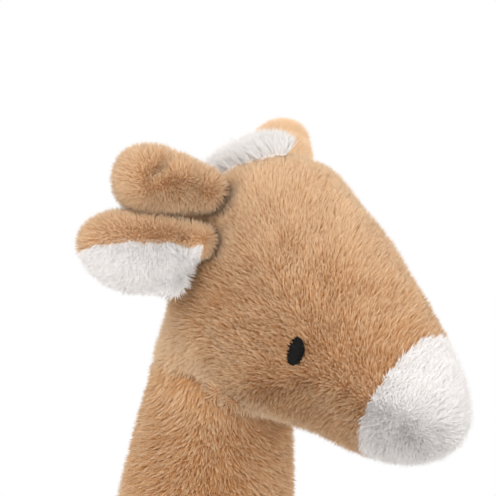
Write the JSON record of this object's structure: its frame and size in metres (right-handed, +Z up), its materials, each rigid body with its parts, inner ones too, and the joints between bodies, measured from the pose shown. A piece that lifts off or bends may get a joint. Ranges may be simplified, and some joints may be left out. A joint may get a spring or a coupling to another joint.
{
  "type": "plush giraffe",
  "caption": "Seated soft giraffe with a long tan neck, wedge-shaped head, pale muzzle and hooves, knobbed horns, leaf-shaped ears and limbs that swing at their seams.",
  "frame": {"origin": "on the flat face of the seat panel, at the height of the floor, in the middle plane", "axes": "+Z up, -Y the way the giraffe faces, +X to the giraffe's left"},
  "size_m": [0.1888, 0.2789, 0.3618],
  "materials": {
    "plush_tan": "dense tan pile on a knitted backing",
    "plush_white": "dense off-white pile on a knitted backing",
    "eye_thread": "black satin embroidery thread",
    "fibre_fill": "loose white polyester fibre",
    "pellet_bag": "plain woven inner bag",
    "pellets": "small smooth plastic pellets"
  },
  "bodies": {
    "torso": {"belly_panel": "plush_tan", "seat_panel": "plush_tan", "torso_cover_left": "plush_tan", "torso_cover_right": "plush_tan", "torso_stuffing": "fibre_fill", "seat_pellet_bag": "pellet_bag", "seat_pellets": "pellets"},
    "neck": {"neck_cover_left": "plush_tan", "neck_cover_right": "plush_tan", "neck_stuffing": "fibre_fill"},
    "head": {"head_cover_left": "plush_tan", "head_cover_right": "plush_tan", "brow_gusset": "plush_tan", "muzzle_cover": "plush_white", "head_mane": "plush_white", "head_stuffing": "fibre_fill", "eye_left": "eye_thread", "eye_right": "eye_thread"},
    "tail": {"tail_stem": "plush_tan", "tail_tuft": "plush_white"},
    "horn_left": {"horn_cover_left": "plush_tan", "horn_stuffing_left": "fibre_fill"},
    "ear_left": {"ear_back_left": "plush_tan", "ear_lining_left": "plush_white"},
    "front_leg_left": {"front_leg_left_cover": "plush_tan", "front_leg_left_hoof": "plush_white", "front_leg_left_stuffing": "fibre_fill", "front_leg_left_pellets": "pellets"},
    "hind_leg_left": {"hind_leg_left_cover": "plush_tan", "hind_leg_left_hoof": "plush_white", "hind_leg_left_stuffing": "fibre_fill", "hind_leg_left_pellets": "pellets"},
    "horn_right": {"horn_cover_right": "plush_tan", "horn_stuffing_right": "fibre_fill"},
    "ear_right": {"ear_back_right": "plush_tan", "ear_lining_right": "plush_white"},
    "front_leg_right": {"front_leg_right_cover": "plush_tan", "front_leg_right_hoof": "plush_white", "front_leg_right_stuffing": "fibre_fill", "front_leg_right_pellets": "pellets"},
    "hind_leg_right": {"hind_leg_right_cover": "plush_tan", "hind_leg_right_hoof": "plush_white", "hind_leg_right_stuffing": "fibre_fill", "hind_leg_right_pellets": "pellets"}
  },
  "joints": [
    {"name": "neck_lean", "type": "hinge", "parent": "torso", "child": "neck", "pos_m": [0, 0, 0.103], "axis": [1, 0, 0], "range_deg": [-12, 15], "stiffness_Nm_per_rad": 1.5},
    {"name": "head_turn", "type": "hinge", "parent": "neck", "child": "head", "pos_m": [0, -0.0231, 0.26738], "axis": [0, -0.1392, 0.9903], "range_deg": [-40, 40], "stiffness_Nm_per_rad": 0.3},
    {"name": "horn_bend_left", "type": "hinge", "parent": "head", "child": "horn_left", "pos_m": [0.02504, -0.03392, 0.34177], "axis": [0, 0, 1], "range_deg": [-12, 12], "stiffness_Nm_per_rad": 0.05},
    {"name": "ear_fold_left", "type": "hinge", "parent": "head", "child": "ear_left", "pos_m": [0.03217, -0.03578, 0.3235], "axis": [0, 0, 1], "range_deg": [-25, 9], "stiffness_Nm_per_rad": 0.02},
    {"name": "hip_left", "type": "hinge", "parent": "torso", "child": "hind_leg_left", "pos_m": [0.03, -0.03, 0.0215], "axis": [-0.9903, -0.1392, 0], "range_deg": [-80, 15]},
    {"name": "shoulder_left", "type": "hinge", "parent": "torso", "child": "front_leg_left", "pos_m": [0.061, -0.004, 0.104], "axis": [-1, 0, 0], "range_deg": [-45, 80], "stiffness_Nm_per_rad": 0.02},
    {"name": "horn_bend_right", "type": "hinge", "parent": "head", "child": "horn_right", "pos_m": [-0.02504, -0.03392, 0.34177], "axis": [0, 0, -1], "range_deg": [-12, 12], "stiffness_Nm_per_rad": 0.05},
    {"name": "ear_fold_right", "type": "hinge", "parent": "head", "child": "ear_right", "pos_m": [-0.03217, -0.03578, 0.3235], "axis": [0, 0, -1], "range_deg": [-25, 9], "stiffness_Nm_per_rad": 0.02},
    {"name": "hip_right", "type": "hinge", "parent": "torso", "child": "hind_leg_right", "pos_m": [-0.03, -0.03, 0.0215], "axis": [-0.9903, 0.1392, 0], "range_deg": [-80, 15]},
    {"name": "shoulder_right", "type": "hinge", "parent": "torso", "child": "front_leg_right", "pos_m": [-0.061, -0.004, 0.104], "axis": [-1, 0, 0], "range_deg": [-45, 80], "stiffness_Nm_per_rad": 0.02},
    {"name": "tail_wag", "type": "hinge", "parent": "torso", "child": "tail", "pos_m": [0, 0.0654, 0.058], "axis": [0, 0, 1], "range_deg": [-30, 30], "stiffness_Nm_per_rad": 0.02}
  ]
}
